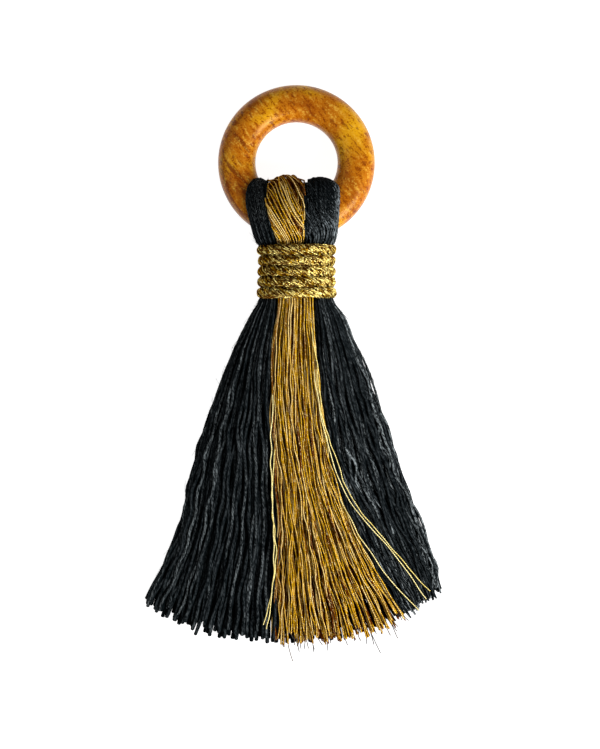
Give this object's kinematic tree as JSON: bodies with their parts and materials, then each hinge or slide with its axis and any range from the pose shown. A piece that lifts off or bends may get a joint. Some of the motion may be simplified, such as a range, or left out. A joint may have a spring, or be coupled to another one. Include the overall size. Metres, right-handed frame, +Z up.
{
  "type": "tassel",
  "caption": "Fanned tassel lying flat: charcoal and gold hanks looped over a wooden ring, their neck bound with metallic cord.",
  "frame": {"origin": "on the surface that the tassel lies on, under the middle turn of the cord binding", "axes": "+Y along the tassel from its cut ends towards the ring, +X to the right seen from above, +Z up off the surface"},
  "size_m": [0.0567, 0.107, 0.013],
  "materials": {
    "varnished_wood": "turned hardwood with short dark pores, under a satin amber varnish",
    "charcoal_yarn": "soft two-ply yarn, matt and slightly hairy",
    "gold_thread": "fine metallic thread, glittering",
    "gold_cord": "thick twisted metallic cord, bright yellow gold"
  },
  "bodies": {
    "root": {"ring": "varnished_wood", "hank_left": "charcoal_yarn", "hank_gold": "gold_thread", "hank_right": "charcoal_yarn", "binding": "gold_cord"}
  },
  "joints": []
}
